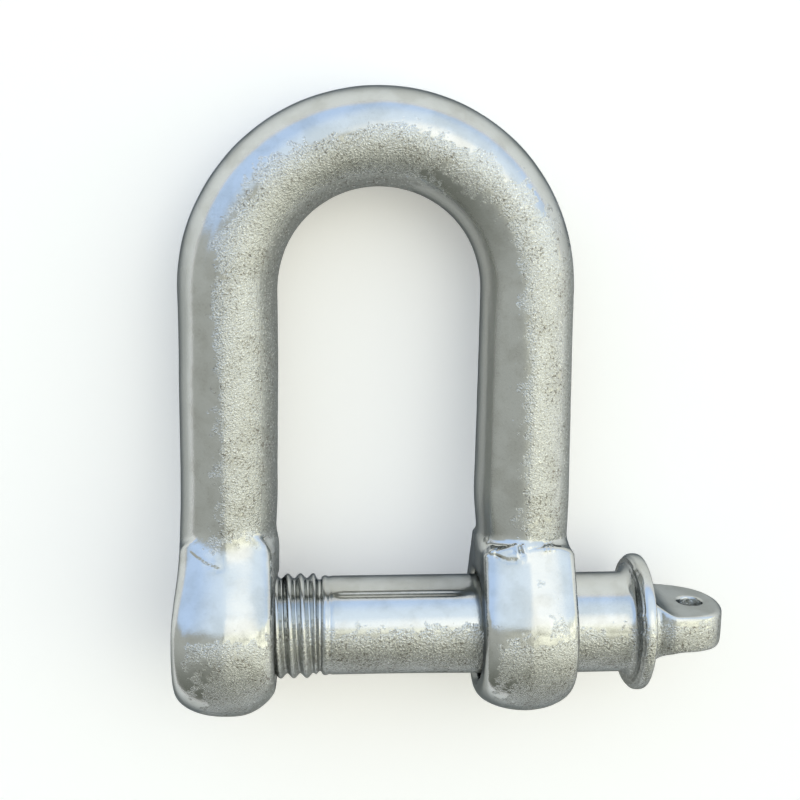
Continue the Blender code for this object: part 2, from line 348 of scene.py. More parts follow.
def normals_of(distance, points, step=0.03):
    """The way that a shape's skin faces at each point, and how steeply its distance grows there."""
    slope = np.empty_like(points)
    for axis in range(3):
        shift = np.zeros(3)
        shift[axis] = step
        slope[:, axis] = (distance(points + shift) - distance(points - shift)) / (2 * step)
    steepness = np.linalg.norm(slope, axis=1, keepdims=True)
    return slope / np.maximum(steepness, 1e-6), np.maximum(steepness[:, 0], 0.2)


def draw_to_skin(distance, points, rounds=5):
    """Moves points onto the skin of a shape, by less than a millimetre at a time."""
    for _ in range(rounds):
        normal, steepness = normals_of(distance, points)
        step = np.clip(distance(points) / steepness, -0.8, 0.8)
        points = points - normal * step[:, None]
    return points


def lumps(points, size, seed):
    """Smooth lumps of about that size, between -1 and 1. The same at every run."""
    shift = Vector((seed * 17.3, seed * 5.1, seed * 11.7))
    return np.array([noise.noise(Vector(point) / size + shift) for point in points.tolist()])


def to_line(points, line):
    """Distance from each point to a line of straight stretches."""
    nearest = np.full(len(points), 1e9)
    for start, end in zip(line, line[1:]):
        start = np.array(start, float)
        along = np.array(end, float) - start
        where = np.clip((points - start) @ along / (along @ along), 0, 1)
        nearest = np.minimum(nearest, np.linalg.norm(points - start - where[:, None] * along, axis=1))
    return nearest


# Marks that the forging dies left on the shoulders: width, height (below 0 is a fold), line.
FOLDS = (
    (0.27, -0.34, ((-35.0, 17.9, 8.3), (-33.9, 17.2, 9.1), (-32.0, 16.2, 10.1), (-29.8, 15.5, 10.8))),
    (0.75, 0.20, ((-34.3, 18.4, 8.5), (-32.4, 17.1, 9.6), (-30.1, 16.2, 10.4))),
    (0.35, -0.12, ((-29.4, 17.6, 9.8), (-28.8, 15.5, 10.9))),
    (
        0.30,
        -0.20,
        ((20.1, 18.3, 4.6), (19.9, 17.3, 7.1), (20.5, 17.0, 9.2), (21.4, 17.2, 9.5), (22.0, 18.5, 8.4)),
    ),
    (0.85, 0.28, ((20.7, 18.2, 5.5), (20.9, 17.7, 8.6))),
    (0.32, -0.34, ((21.6, 16.9, 9.4), (23.3, 16.3, 10.3), (25.1, 16.2, 10.6))),
    (0.60, 0.16, ((21.9, 17.6, 9.6), (23.7, 17.0, 10.1), (25.0, 17.0, 10.3))),
    (0.40, 0.30, ((25.2, 18.8, 9.3), (25.5, 17.5, 10.0), (25.9, 16.4, 10.6))),
    (0.30, -0.32, ((25.9, 18.7, 9.5), (26.1, 17.9, 10.0), (26.4, 16.7, 10.5))),
    (0.36, 0.24, ((26.6, 18.9, 9.5), (26.9, 17.6, 10.2), (27.1, 16.6, 10.6))),
    (0.36, -0.18, ((27.8, 18.3, 10.0), (29.8, 18.7, 9.5), (32.5, 19.1, 7.8), (34.2, 19.1, 6.4))),
    (0.26, 0.16, ((30.8, 18.8, 9.0), (30.8, 18.0, 9.8))),
    (0.26, 0.16, ((31.6, 18.9, 8.6), (31.6, 18.0, 9.6))),
    (0.26, 0.16, ((32.5, 18.9, 8.0), (32.5, 18.0, 9.4))),
)
LEG_SEAM = (0.35, -0.06, ((19.9, 64.2, 4.4), (20.3, 45.7, 5.1), (20.3, 25.1, 5.3), (20.3, 18.5, 4.7)))

# Lumps of the forged skin: how high, how far apart in millimetres, and the seed of each kind.
LUMPS = ((0.7, 15.0, 1), (0.45, 6.0, 2), (0.16, 2.2, 3))
BREAKS_APART = 1.3
BREAKS_SEED = 4
BORE_SKIN = 0.15


def lay_down(points):
    """From the bench, in millimetres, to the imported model's place, in metres."""
    x, y, z = (np.asarray(points, float) * METRE).T
    along = x - COLLAR_X * METRE
    back = y * TO_CROWN.y - z * TO_CROWN.z
    high = y * TO_CROWN.z + z * TO_CROWN.y
    return np.column_stack((along, back, high)) + np.array(PIN_PLACE)


def stand_up(points):
    """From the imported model's place, in metres, to the bench, in millimetres."""
    x, y, z = (np.asarray(points, float) - np.array(PIN_PLACE)).T / METRE
    return np.column_stack((x + COLLAR_X, y * TO_CROWN.y + z * TO_CROWN.z, z * TO_CROWN.y - y * TO_CROWN.z))


def points_of(mesh):
    flat = np.empty(len(mesh.vertices) * 3)
    mesh.vertices.foreach_get("co", flat)
    return flat.reshape(-1, 3)


def put_points(mesh, points):
    mesh.vertices.foreach_set("co", points.astype(np.float32).ravel())
    mesh.update()


def new_piece(name, mesh, material, body, slot, *nodes):
    piece = bpy.data.objects.new(name, mesh)
    bpy.context.scene.collection.objects.link(piece)
    mesh.materials.clear()
    mesh.materials.append(material)
    mesh.shade_smooth()
    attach(piece, body)
    if nodes:
        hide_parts(*nodes)
    return piece


def settled_mesh(source, name):
    """The mesh that an object has once its modifiers are applied."""
    graph = bpy.context.evaluated_depsgraph_get()
    mesh = bpy.data.meshes.new_from_object(source.evaluated_get(graph))
    mesh.name = name
    bpy.data.objects.remove(source)
    return mesh


def remeshed_copy(node, name, size):
    """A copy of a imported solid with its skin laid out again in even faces."""
    rough = bpy.data.objects.new(name, frame["nodes"][node].data.copy())
    bpy.context.scene.collection.objects.link(rough)
    remesh = rough.modifiers.new("even_faces", "REMESH")
    remesh.mode = "VOXEL"
    remesh.voxel_size = size
    return settled_mesh(rough, name)


def refine_near(mesh, lines, reach, times):
    """Splits the faces that lie within reach of any of the lines."""
    for _ in range(times):
        shape = bmesh.new()
        shape.from_mesh(mesh)
        middles = stand_up([face.calc_center_median() for face in shape.faces])
        near = np.full(len(middles), 1e9)
        for line in lines:
            near = np.minimum(near, to_line(middles, line))
        chosen = [face for face, gap in zip(shape.faces, near.tolist()) if gap < reach]
        edges = list({edge for face in chosen for edge in face.edges})
        bmesh.ops.subdivide_edges(shape, edges=edges, cuts=1, use_grid_fill=True)
        bmesh.ops.triangulate(shape, faces=[face for face in shape.faces if len(face.verts) > 4])
        shape.to_mesh(mesh)
        shape.free()


class SHACKLE_OT_bow(bpy.types.Operator):
    """Forges the bow with its two bored eyes"""

    bl_idname = "shackle.bow"
    bl_label = "Forged Bow"

    def execute(self, context):
        settings = context.scene.shackle_bow
        bow = Bow(settings)
        mesh = remeshed_copy("shackle_body", "forged_bow", settings.mesh)
        refine_near(mesh, [line for _, _, line in FOLDS], 1.2, 2)
        points = draw_to_skin(bow.distance, stand_up(points_of(mesh)))
        normal, _ = normals_of(bow.distance, points)
        bore = np.where(points[:, 0] < 0, bow.tapped_bore, bow.plain_bore) / 2
        in_bore = (points[:, 1] < 14) & (np.hypot(points[:, 1], points[:, 2]) < bore + 0.3)
        rise = sum(height * lumps(points, size, seed) for height, size, seed in LUMPS) * bow.unevenness
        broken = 0.65 + 0.7 * np.clip(lumps(points, BREAKS_APART, BREAKS_SEED) + 0.35, 0.0, 1.0)
        for width, height, line in (*FOLDS, LEG_SEAM):
            rise = rise + height * broken * np.exp(-((to_line(points, line) / width) ** 2))
        rise = rise * np.where(in_bore, BORE_SKIN, 1.0)
        put_points(mesh, np.clip(lay_down(points + normal * rise[:, None]), CAD_BOX[0], CAD_BOX[1]))
        coat = zinc("bow_zinc", context.scene.shackle_zinc, True)
        new_piece("forged_bow", mesh, coat, "bow", "galvanised_bow", "shackle_body")
        return {"FINISHED"}


# The pin and the lining of the tapped eye are wound from rings of points.


def skin_of(rings, looped=False):
    """Faces between rings of equal count. The last ring meets the first, or both ends get a cap."""
    sides = len(rings[0])
    here = np.arange(sides)
    after = (here + 1) % sides
    starts = [ring * sides for ring in range(len(rings))]
    faces = []
    for low, high in zip(starts, starts[1:] + starts[:1] if looped else starts[1:]):
        faces.extend(np.column_stack((low + here, high + here, high + after, low + after)).tolist())
    if not looped:
        faces.append(here.tolist())
        faces.append((here[::-1] + starts[-1]).tolist())
    return faces


def mesh_of(name, rings, looped=False):
    """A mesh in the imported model's place, from rings on the bench."""
    mesh = bpy.data.meshes.new(name)
    mesh.from_pydata(lay_down(np.concatenate(rings)).tolist(), [], skin_of(rings, looped))
    shape = bmesh.new()
    shape.from_mesh(mesh)
    bmesh.ops.recalc_face_normals(shape, faces=shape.faces)
    shape.to_mesh(mesh)
    shape.free()
    return mesh


# Shape of the pin, in millimetres, beside the sizes in its settings.
SIDES = 168
RING_STEP = 0.125
THREAD_START = math.radians(155)
THREAD_END_RADIUS = 8.8
TIP_CHAMFER = 1.2
RUNOUT = (
    (0.15, 8.95), (0.3, 9.3), (0.55, 9.5), (0.9, 9.6), (1.25, 9.55), (1.5, 9.42), (1.75, 9.36), (2.0, 9.42)
)
SHANK_SWELL = 0.26
SHANK_SWELLS = (-52.0, 44.0)
COLLAR_FROM = -1.9
COLLAR_FILLET = 1.6
COLLAR_DISH = 0.15
COLLAR_ROLL = 0.72
COLLAR_LEAN = 0.016
END_RADIUS = 11.0
CORNER = 2.4
TAB_TAPER = 0.10
TAB_EDGE = 1.1
NOSE_SHIFT = 1.1
NECK_FLARE = 2.2
EDGE_FILLET = 1.5
FLAT_FILLET = 0.8
FLAT_START = 5.6
SCOOP = 5.4
LOW_SCOOP = 6.8
HOLE_HEIGHT = 0.8
HOLE_SIDES = 48

# Mouth of the seizing hole: how far beyond the flat, and how much wider than the hole.
HOLE_MOUTH = ((1.0, 1.3), (0.05, 0.42), (-0.2, 0.12), (-0.5, 0.0))

# Share of the pin's points that the drilled hole leaves at the least.
LEAST_LEFT = 0.9

# The seam along the shank: where it lies round the pin, and where it starts and ends.
SEAM_TURN = 0.56
SEAM_RADIUS = 9.5
SEAM_WIDTH = 0.45
SEAM_DEPTH = 0.11
SEAM_STARTS = (-58.5, 2.0)
SEAM_ENDS = (31.5, 5.0)

# The creases in the collar's inner face: where they lie round the pin, and how wide they are there.
CREASES = (0.28, 1.12, 1.42, 1.78)
CREASE_WIDTH = 0.035
CREASE_DEPTH = 0.28


def scooped(x, scoop, start, half):
    """Height of a flat over the tab's middle, where it curves up to the collar round a scoop."""
    into = min(max(start - x, 0.0), scoop - 0.01)
    return half + scoop - math.sqrt(scoop * scoop - into * into)


class Pin:
    """The pin's sizes in millimetres. Its X starts at the seat of the collar."""

    def __init__(self, settings):
        for name in PinSettings.__annotations__:
            setattr(self, name, getattr(settings, name) / METRE)
        self.turns = np.linspace(0, math.tau, SIDES, endpoint=False)
        self.back = self.collar_seat + self.collar_thickness
        self.end = self.back + self.tab_length

    def round_ring(self, x, radius):
        """A ring of points at one place along the pin. The radius may change round it."""
        along = np.full(SIDES, x)
        return np.column_stack((along, radius * np.cos(self.turns), radius * np.sin(self.turns)))

    def wave(self, along):
        """Height of the thread at each turn, from 0 in the root to 1 on the crest."""
        turn = math.tau * along / self.pitch - THREAD_START - (self.turns - math.pi / 2)
        return 0.5 + 0.5 * np.cos(turn)

    def threaded(self):
        """Rings from the chamfered tip to the rolled lip where the thread runs out."""
        tip = -self.reach
        end = tip + self.thread_length
        rings = []
        for x in np.arange(tip, end + 0.1, RING_STEP):
            radius = self.thread / 2 - self.thread_depth * (1 - self.wave(x - tip) ** 0.85)
            radius = mix(THREAD_END_RADIUS, radius, smooth_step(end - 0.2 - x))
            rings.append(self.round_ring(x, radius - max(0.0, TIP_CHAMFER - (x - tip))))
        rings.extend(self.round_ring(end + x, radius) for x, radius in RUNOUT)
        return rings

    def shank_and_collar(self):
        """Rings along the shank, round the fillet, out over the dished face and round the rim."""
        shank = self.swell(0.0)
        rim = self.collar / 2
        start = -self.reach + self.thread_length + 2.3
        rings = [self.round_ring(x, self.swell(x)) for x in np.linspace(start, -2.6, 130)]
        for angle in np.radians(np.arange(10, 100, 10)):
            x = COLLAR_FILLET * math.sin(angle) - COLLAR_FILLET - COLLAR_DISH
            rings.append(self.round_ring(x, shank + COLLAR_FILLET * (1 - math.cos(angle))))
        for radius in np.linspace(shank + COLLAR_FILLET + 0.1, rim - 0.75, 6):
            rings.append(self.round_ring(COLLAR_DISH * ((radius - shank) / (rim - shank) - 1), radius))
        middle = self.collar_thickness / 2
        for angle in np.radians(np.arange(-90, 105, 15)):
            x = middle + middle * math.copysign(abs(math.sin(angle)) ** 0.8, math.sin(angle))
            radius = rim - COLLAR_ROLL + COLLAR_ROLL * max(math.cos(angle), 0.0) ** 0.8
            rings.append(self.round_ring(x + self.collar_seat, radius))
        return rings

    def swell(self, x):
        """The shank's radius, which grows a little towards the collar."""
        return self.shank / 2 + SHANK_SWELL * rise_over(x, *SHANK_SWELLS)

    def outline(self, x, z):
        """How far a point of the tab's flat lies inside its outline. The lower edge slopes more."""
        along = x - self.back - 4.0
        side = self.tab_width / 2 - TAB_TAPER * along - np.abs(z)
        side = side + np.where(z < 0, 0.9 - 0.33 * along, 0.0) * rise_over(-z, 0.0, 3.0)
        nose = END_RADIUS - np.hypot(x - (self.end - END_RADIUS), z - NOSE_SHIFT)
        nose = np.where(x > self.end - END_RADIUS, nose, END_RADIUS)
        return np.minimum(side, nose) - np.maximum(CORNER - np.abs(side - nose), 0.0) ** 2 / (4 * CORNER)

    def half_width(self, x, side):
        """From the line that the tab's nose points along to the tab's edge, on one side of it."""
        low, high = 0.0, self.tab_width / 2 + 3.0
        for _ in range(30):
            middle = (low + high) / 2
            if self.outline(np.float64(x), np.float64(NOSE_SHIFT + middle * side)) > 0:
                low = middle
            else:
                high = middle
        return low

    def tab_ring(self, x):
        """One ring of the tab, which goes from the round neck to the flat, drilled end."""
        along = x - self.back
        flare = NECK_FLARE * (1 - math.sqrt(1 - max(0.0, 1 - along / NECK_FLARE) ** 2))
        body = mix(self.neck / 2, self.tab_width / 2, rise_over(along, 0.8, 4.6)) + flare
        held = rise_over(along, 2.0, 2.0)
        edge_x = min(x, self.end - 0.004)
        near = body - NOSE_SHIFT * held
        near = mix(near, join_softly(near, self.half_width(edge_x, 1), EDGE_FILLET), held)
        far = body + (NOSE_SHIFT + 0.8) * held
        far = mix(far, join_softly(far, self.half_width(edge_x, -1), EDGE_FILLET), held)
        z = NOSE_SHIFT * held + np.where(np.sin(self.turns) < 0, far, near) * np.sin(self.turns)
        half = self.tab_thickness / 2
        flat_start = self.back + FLAT_START
        upper = scooped(x, SCOOP, flat_start, half)
        lower = scooped(x, LOW_SCOOP, flat_start + 1.0, half + 0.15)
        height = np.where(np.cos(self.turns) < 0, lower, upper)
        inside = np.maximum(self.outline(np.full(SIDES, x), z), 0.0)
        rounded = TAB_EDGE - np.sqrt(np.maximum(TAB_EDGE**2 - np.maximum(TAB_EDGE - inside, 0.0) ** 2, 0.0))
        limit = height - rounded * rise_over(along, 2.0, 4.0)
        y = body * np.cos(self.turns)
        y = np.sign(y) * join_softly(np.abs(y), limit, FLAT_FILLET)
        y = y + self.tab_shift * rise_over(along, 0.0, 3.0)
        return np.column_stack((np.full(SIDES, x), y, z))

    def tab(self):
        """Rings of the tab, closer together where it leaves the collar and at its nose."""
        spots = np.concatenate((
            np.linspace(self.back + 0.02, self.back + 6.0, 30),
            np.linspace(self.back + 6.2, self.end - 4.2, 26),
            self.end - 4.0 * (1 - np.sin(np.linspace(0.02, math.pi / 2, 34))),
        ))
        return [self.tab_ring(x) for x in spots]

    def rings(self):
        """All the rings from the tip to the tab, on the bench. The pin hangs a little at its collar."""
        rings = self.threaded() + self.shank_and_collar() + self.tab()
        for ring in rings:
            turn = np.arctan2(ring[:, 2], ring[:, 1])
            size = np.hypot(ring[:, 1], ring[:, 2])
            along = ring[:, 0]
            seam = np.exp(-(((turn - SEAM_TURN) * SEAM_RADIUS / SEAM_WIDTH) ** 2))
            seam = seam * rise_over(along, *SEAM_STARTS) * rise_over(-along, *SEAM_ENDS) * SEAM_DEPTH
            ring[:, 1:] *= (1 - seam / np.maximum(size, 1.0))[:, None]
            on_face = rise_over(size, 10.3, 1.2) * (along < 0.4) * (along > COLLAR_FROM)
            for crease in CREASES:
                ring[:, 0] -= CREASE_DEPTH * on_face * np.exp(-(((turn - crease) / CREASE_WIDTH) ** 2))
            on_collar = rise_over(size, 10.4, 1.6) * (along > COLLAR_FROM) * (along < self.back + 0.01)
            ring[:, 0] += COLLAR_LEAN * on_collar * ring[:, 1]
            hang = rise_over(ring[:, 0], *SHANK_SWELLS) * rise_over(-ring[:, 0], -6.0, 4.0)
            ring[:, 1] -= SHANK_SWELL * hang
            ring[:, 0] += COLLAR_X
        return rings


def hole_cutter(pin):
    """Rings of a drill on the bench. Its flared shoulders round the mouths of the hole."""
    half = pin.tab_thickness / 2
    radius = pin.tab_hole / 2
    middle = np.array((pin.hole_place, pin.tab_shift, HOLE_HEIGHT))
    mouth = [(half + beyond, radius + wider) for beyond, wider in HOLE_MOUTH]
    profile = [(-y, size) for y, size in mouth] + mouth[::-1]
    turns = np.linspace(0, math.tau, HOLE_SIDES, endpoint=False)
    rings = []
    for y, size in profile:
        ring = np.column_stack((size * np.cos(turns), np.full(HOLE_SIDES, y), size * np.sin(turns)))
        rings.append(middle + ring + np.array((COLLAR_X, 0, 0)))
    return rings


class SHACKLE_OT_pin(bpy.types.Operator):
    """Turns, threads and flattens the screw pin"""

    bl_idname = "shackle.pin"
    bl_label = "Screw Pin"

    def execute(self, context):
        pin = Pin(context.scene.shackle_pin)
        body = bpy.data.objects.new("pin_blank", mesh_of("pin_blank", pin.rings()))
        drill = bpy.data.objects.new("drill", mesh_of("drill", hole_cutter(pin)))
        for thing in (body, drill):
            context.scene.collection.objects.link(thing)
        cut = body.modifiers.new("seizing_hole", "BOOLEAN")
        cut.object = drill
        cut.operation = "DIFFERENCE"
        cut.solver = "EXACT"
        fewest = LEAST_LEFT * len(body.data.vertices)
        mesh = settled_mesh(body, "screw_pin_zinc")
        if len(mesh.vertices) < fewest:
            raise RuntimeError("The drill took more than the hole out of the pin")
        bpy.data.objects.remove(drill)
        coat = zinc("pin_zinc", context.scene.shackle_zinc, False)
        new_piece("threaded_pin", mesh, coat, "pin", "galvanised_pin", "screw_pin")
        return {"FINISHED"}


# The lining of the tapped eye, in millimetres. Its crests clear the thread, because the pin slides.
LINING_INSET = 0.6
LINING_STEP = 0.16
LINING_RADIUS = 10.3
LINING_DEPTH = 0.75
LINING_BACK = 11.8


class SHACKLE_OT_thread(bpy.types.Operator):
    """Lines the tapped eye with its internal thread"""

    bl_idname = "shackle.thread"
    bl_label = "Tapped Thread"

    def execute(self, context):
        bow = Bow(context.scene.shackle_bow)
        pin = Pin(context.scene.shackle_pin)
        inner = -(bow.tapped_face + LINING_INSET)
        outer = -(bow.tapped_face + bow.tapped_eye - LINING_INSET)
        spots = np.arange(outer, inner, LINING_STEP)
        rings = []
        for x in spots:
            mouth = max(0.0, 0.9 - min(x - outer, inner - x))
            radius = LINING_RADIUS + LINING_DEPTH * pin.wave(x - (COLLAR_X - pin.reach)) + 0.8 * mouth
            rings.append(pin.round_ring(x, radius))
        rings.append(pin.round_ring(spots[-1], LINING_BACK))
        rings.append(pin.round_ring(spots[0], LINING_BACK))
        mesh = mesh_of("tapped_thread", rings, looped=True)
        coat = zinc("thread_zinc", context.scene.shackle_zinc, False)
        new_piece("tapped_thread", mesh, coat, "bow", "galvanised_bow")
        return {"FINISHED"}


# Zinc

# The colour sockets of a Mix node, which share their names with its other sockets.
MIX_ONE = 6
MIX_OTHER = 7
MIX_RESULT = 2

# Size in metres of the zinc's clouds, and of the shreds where smooth zinc turns grainy.
CLOUD_SIZE = 0.005
SHRED_SIZE = 0.0014

# How far the skin faces each way when its zinc starts to change, and when it has: 1 is straight at it.
CROWNWARD = (0.22, 0.36)
LEFTWARD = (-0.12, -0.32)
# TILTED and FOOTWARD bound the flank mask: where its painted shade starts, and where it is full.
TILTED = (0.80, 0.60)
FOOTWARD = (0.45, 0.0)

# Values of the noise between which each kind of spot appears.
CLUSTERS = (0.40, 0.66)
PITS = (0.47, 0.36)
CRYSTALS = (0.54, 0.68)


class Wiring:
    """Adds nodes to a material or a world and joins them."""

    def __init__(self, material):
        material.use_nodes = True
        self.tree = material.node_tree
        self.shader = self.tree.nodes.get("Principled BSDF")

    def add(self, kind, settings=None, **inputs):
        node = self.tree.nodes.new(kind)
        for name, value in (settings or {}).items():
            setattr(node, name, value)
        for name, value in inputs.items():
            self.feed(node.inputs[name.replace("_", " ")], value)
        return node

    def feed(self, socket, value):
        if isinstance(value, bpy.types.NodeSocket):
            self.tree.links.new(value, socket)
        else:
            socket.default_value = value

    def grain(self, place, size, detail, roughness=0.5):
        return self.add(
            "ShaderNodeTexNoise", Vector=place, Scale=1 / size, Detail=detail, Roughness=roughness
        ).outputs["Fac"]

    def span(self, value, low, high, to_low=0.0, to_high=1.0):
        node = self.add("ShaderNodeMapRange", {"interpolation_type": "SMOOTHSTEP"}, Value=value)
        for name, number in (("From Min", low), ("From Max", high), ("To Min", to_low), ("To Max", to_high)):
            node.inputs[name].default_value = number
        return node.outputs["Result"]

    def blend(self, amount, one, other):
        node = self.add("ShaderNodeMix", {"data_type": "RGBA"})
        self.feed(node.inputs["Factor"], amount)
        self.feed(node.inputs[MIX_ONE], one)
        self.feed(node.inputs[MIX_OTHER], other)
        return node.outputs[MIX_RESULT]

    def sum(self, operation, one, other):
        node = self.add("ShaderNodeMath", {"operation": operation})
        self.feed(node.inputs[0], one)
        self.feed(node.inputs[1], other)
        return node.outputs[0]


def zinc(name, settings, fine):
    """Hot dip zinc: smooth where it ran off towards the crown and the left, and grainy elsewhere. Skin that turns
    from straight up and faces away from the crown gets painted shade.
    """
    material = bpy.data.materials.new(name)
    wiring = Wiring(material)
    size = settings.bow_grain if fine else settings.pin_grain
    place = wiring.add("ShaderNodeTexCoord").outputs["Object"]
    facing = wiring.add("ShaderNodeSeparateXYZ", Vector=wiring.add("ShaderNodeTexCoord").outputs["Normal"])
    clouds = wiring.grain(place, CLOUD_SIZE, 3.0)
    shreds = wiring.grain(place, SHRED_SIZE, 2.0)
    ragged = wiring.sum("MULTIPLY", wiring.sum("SUBTRACT", wiring.sum("ADD", clouds, shreds), 1.0), 0.7)
    crownward = wiring.span(wiring.sum("ADD", facing.outputs["Y"], ragged), *CROWNWARD)
    leftward = wiring.span(wiring.sum("SUBTRACT", facing.outputs["X"], ragged), *LEFTWARD)
    smooth = wiring.sum("MAXIMUM", crownward, leftward) if fine else crownward
    grainy = wiring.span(smooth, 1.0, 0.0, 0.06, 1.0)
    worn = wiring.span(wiring.sum("SUBTRACT", leftward, crownward), 0.0, 1.0, 0.0, 0.12)
    grainy = wiring.sum("MAXIMUM", grainy, worn)
    clusters = wiring.span(clouds, *CLUSTERS)
    grain = wiring.grain(place, size, 2.0, 0.7)
    dark = wiring.span(wiring.grain(place, size * 1.5, 2.0, 0.7), *PITS)
    dark = wiring.sum("MULTIPLY", dark, grainy)
    dark = wiring.sum("MULTIPLY", dark, wiring.span(clusters, 0.0, 1.0, 0.45, 1.0))
    light = wiring.sum("MULTIPLY", wiring.span(grain, *CRYSTALS), grainy)
    # Painted shade: the flank mask darkens the skin that turns from straight up and faces away from the crown,
    # standing for dark ground seen in its reflection.
    tilted = wiring.span(facing.outputs["Z"], *TILTED)
    flank = wiring.sum("MULTIPLY", tilted, wiring.span(facing.outputs["Y"], *FOOTWARD))
    coat = wiring.blend(clusters, (*settings.bright, 1.0), (*settings.dull, 1.0))
    coat = wiring.blend(flank, coat, (*settings.flank, 1.0))
    coat = wiring.blend(dark, coat, (*settings.speck, 1.0))
    coat = wiring.blend(light, coat, (*settings.glint, 1.0))
    wiring.feed(wiring.shader.inputs["Base Color"], coat)
    finish = wiring.span(grainy, 0.0, 1.0, settings.smooth, settings.rough)
    finish = wiring.sum("ADD", finish, wiring.sum("MULTIPLY", flank, 0.18))
    wiring.feed(wiring.shader.inputs["Roughness"], finish)
    wiring.shader.inputs["Metallic"].default_value = 1.0
    wiring.shader.inputs["Specular Tint"].default_value = (*settings.edge, 1.0)
    swell = wiring.grain(place, size * 7.0, 2.0, 0.5)
    height = wiring.sum("ADD", wiring.sum("MULTIPLY", swell, 0.5), grain)
    strength = wiring.span(grainy, 0.0, 1.0, 0.04, 0.9)
    bump = wiring.add("ShaderNodeBump", Strength=strength, Distance=size * 0.6, Height=height)
    wiring.feed(wiring.shader.inputs["Normal"], bump.outputs["Normal"])
    return material


# Stage

# Colours of the light from each side. 1 is the light that shows a colour as it is written.
SKY_BLUE = (0.72, 0.93, 1.28, 1.0)
SKY_PALE = (1.05, 1.20, 1.36, 1.0)
SKY_GLOW = (1.60, 1.62, 1.58, 1.0)
GROUND_LEFT = (0.56, 0.58, 0.545, 1.0)
GROUND_RIGHT = (1.36, 1.36, 1.14, 1.0)
GROUND_FAR = (0.19, 0.20, 0.17, 1.0)
HORIZON = (1.0, 1.0, 1.0, 1.0)

# Where the glow in the sky is brightest, and how near to it the sky pales and glows.
GLOW_SIDE = (0.32, 0.36, 0.876)
SKY_PALES = (0.50, 0.88)
SKY_GLOWS = (0.90, 0.995)

# Between which heights and sides the world changes, as parts of a ball round the shackle.
ACROSS = (-0.40, 0.42)
TOWARDS_CROWN = (-1.0, 0.1)
BEHIND_CROWN = (0.20, 0.38)
ABOVE_HORIZON = (0.02, 0.16)
PATCHES_ACROSS = (-0.30, 0.0)
PATCHES_UP = (0.25, 0.50)

# Size of the ground's patches, the noise between which they change, and their darkest and brightest.
PATCH_SIZE = 0.10
PATCHES = (0.36, 0.64, 0.40, 1.60)
SKYLINE_SIZE = 0.16
SKYLINE_RISE = 0.30

# Camera at the photograph's angle: its place in metres and its turn in degrees.
CAMERA_PLACE = Vector((-0.02672, 0.06537, 0.22427))
CAMERA_TURN = (-16.70046, -4.02318, 0.95637)
FLOOR_REACH = 6.0
LAMP_PLACE = (0.29, 0.38, 0.70)
LAMP_AIM = (0, 0, 0.02)
LAMP_SIZE = (0.56, 0.44)


def lamp(name, place, aim, size, power, tint):
    """A soft lamp with a flat face. It stays out of the reflections, where it would be a white spot."""
    light = bpy.data.lights.new(name, "AREA")
    light.shape = "RECTANGLE"
    light.size, light.size_y = size
    light.energy = power * math.pi * size[0] * size[1]
    light.color = tint
    thing = bpy.data.objects.new(name, light)
    bpy.context.scene.collection.objects.link(thing)
    thing.location = place
    thing.rotation_euler = (Vector(aim) - Vector(place)).to_track_quat("-Z", "Y").to_euler()
    thing.visible_glossy = False


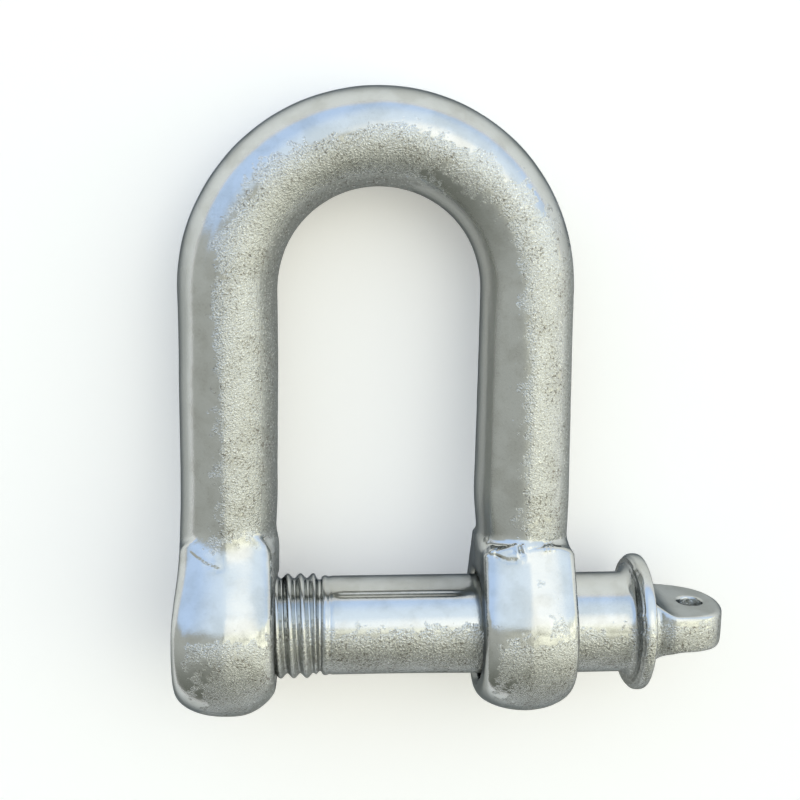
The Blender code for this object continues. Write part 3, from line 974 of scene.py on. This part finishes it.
class SHACKLE_OT_stage(bpy.types.Operator):
    """Lays the floor, paints the world, hangs the lamp and sets up the camera"""

    bl_idname = "shackle.stage"
    bl_label = "Stage"

    def execute(self, context):
        settings = context.scene.shackle_stage
        self.lay_floor(context.scene, settings)
        context.scene.world = bpy.data.worlds.new("studio")
        self.paint_world(context.scene.world)
        lamp("key_lamp", LAMP_PLACE, LAMP_AIM, LAMP_SIZE, settings.key_power, settings.key_tint)
        self.set_camera(context.scene, settings)
        context.scene.view_settings.view_transform = "Standard"
        return {"FINISHED"}

    def lay_floor(self, scene, settings):
        """A matt floor, lifted to white where the camera or a reflection sees it."""
        material = bpy.data.materials.new("floor_paint")
        wiring = Wiring(material)
        wiring.shader.inputs["Base Color"].default_value = (*settings.floor, 1.0)
        wiring.shader.inputs["Roughness"].default_value = 0.9
        wiring.shader.inputs["Specular IOR Level"].default_value = 0.0
        wiring.shader.inputs["Emission Color"].default_value = (1.0, 1.0, 1.0, 1.0)
        rays = wiring.add("ShaderNodeLightPath").outputs
        seen = wiring.sum("MAXIMUM", rays["Is Camera Ray"], rays["Is Glossy Ray"])
        seen = wiring.sum("MAXIMUM", seen, rays["Is Transmission Ray"])
        wiring.feed(wiring.shader.inputs["Emission Strength"], wiring.sum("MULTIPLY", seen, settings.glow))
        far = FLOOR_REACH
        floor = bpy.data.meshes.new("floor")
        corners = [(-far, -far, 0), (far, -far, 0), (far, far, 0), (-far, far, 0)]
        floor.from_pydata(corners, [], [(0, 1, 2, 3)])
        floor.materials.append(material)
        thing = bpy.data.objects.new("floor", floor)
        scene.collection.objects.link(thing)

    def set_camera(self, scene, settings):
        camera = bpy.data.cameras.new("camera")
        camera.lens = settings.lens
        camera.sensor_width = 36.0
        camera.sensor_fit = "HORIZONTAL"
        camera.clip_start = 0.01
        eye = bpy.data.objects.new("camera", camera)
        scene.collection.objects.link(eye)
        eye.location = CAMERA_PLACE
        eye.rotation_euler = [math.radians(turn) for turn in CAMERA_TURN]
        scene.camera = eye

    def paint_world(self, world):
        """A sky behind the crown, and a dimmer ground over the eyes, lighter at the tab's side."""
        wiring = Wiring(world)
        place = wiring.add("ShaderNodeTexCoord").outputs["Generated"]
        split = wiring.add("ShaderNodeSeparateXYZ", Vector=place)
        facing = wiring.add("ShaderNodeVectorMath", {"operation": "DOT_PRODUCT"})
        wiring.feed(facing.inputs[0], place)
        wiring.feed(facing.inputs[1], GLOW_SIDE)
        pale = wiring.blend(wiring.span(facing.outputs["Value"], *SKY_PALES), SKY_BLUE, SKY_PALE)
        sky = wiring.blend(wiring.span(facing.outputs["Value"], *SKY_GLOWS), pale, SKY_GLOW)
        across = wiring.span(split.outputs["X"], *ACROSS)
        ground = wiring.blend(across, GROUND_LEFT, GROUND_RIGHT)
        patches = wiring.span(wiring.grain(place, PATCH_SIZE, 2.0), *PATCHES)
        broken = wiring.add("ShaderNodeVectorMath", {"operation": "SCALE"}, Vector=ground, Scale=patches)
        rough_side = wiring.span(split.outputs["X"], *PATCHES_ACROSS)
        rough_side = wiring.sum("MULTIPLY", rough_side, wiring.span(split.outputs["Z"], *PATCHES_UP))
        ground = wiring.blend(rough_side, ground, broken.outputs["Vector"])
        near = wiring.span(split.outputs["Y"], *TOWARDS_CROWN)
        ground = wiring.blend(near, GROUND_FAR, ground)
        ragged = wiring.sum("SUBTRACT", wiring.grain(place, SKYLINE_SIZE, 2.0), 0.5)
        ragged = wiring.sum("MULTIPLY", ragged, SKYLINE_RISE)
        behind = wiring.span(wiring.sum("ADD", split.outputs["Y"], ragged), *BEHIND_CROWN)
        light = wiring.blend(behind, ground, sky)
        high = wiring.span(split.outputs["Z"], *ABOVE_HORIZON)
        light = wiring.blend(high, HORIZON, light)
        wiring.feed(wiring.tree.nodes["Background"].inputs["Color"], light)


class SHACKLE_PT_panel(bpy.types.Panel):
    """Sizes, colours and buttons of the shackle"""

    bl_idname = "SHACKLE_PT_panel"
    bl_label = "Screw Pin Shackle"
    bl_space_type = "VIEW_3D"
    bl_region_type = "UI"
    bl_category = "Shackle"

    def draw(self, context):
        for group, operators in PANEL:
            box = self.layout.box()
            settings = getattr(context.scene, group)
            for name in type(settings).__annotations__:
                box.prop(settings, name)
            for operator in operators:
                box.operator(operator)


GROUPS = (
    ("shackle_bow", BowSettings),
    ("shackle_pin", PinSettings),
    ("shackle_zinc", ZincSettings),
    ("shackle_stage", StageSettings),
)
PANEL = (
    ("shackle_bow", ("shackle.bow", "shackle.thread")),
    ("shackle_pin", ("shackle.pin",)),
    ("shackle_zinc", ()),
    ("shackle_stage", ("shackle.stage",)),
)
CLASSES = (SHACKLE_OT_bow, SHACKLE_OT_thread, SHACKLE_OT_pin, SHACKLE_OT_stage, SHACKLE_PT_panel)


def register():
    for name, group in GROUPS:
        bpy.utils.register_class(group)
        setattr(bpy.types.Scene, name, PointerProperty(type=group))
    for thing in CLASSES:
        bpy.utils.register_class(thing)


def unregister():
    for thing in reversed(CLASSES):
        bpy.utils.unregister_class(thing)
    for name, group in reversed(GROUPS):
        delattr(bpy.types.Scene, name)
        bpy.utils.unregister_class(group)


def main():
    register()
    bpy.ops.shackle.stage()
    bpy.ops.shackle.bow()
    bpy.ops.shackle.thread()
    bpy.ops.shackle.pin()


if __name__ == "__main__":
    main()
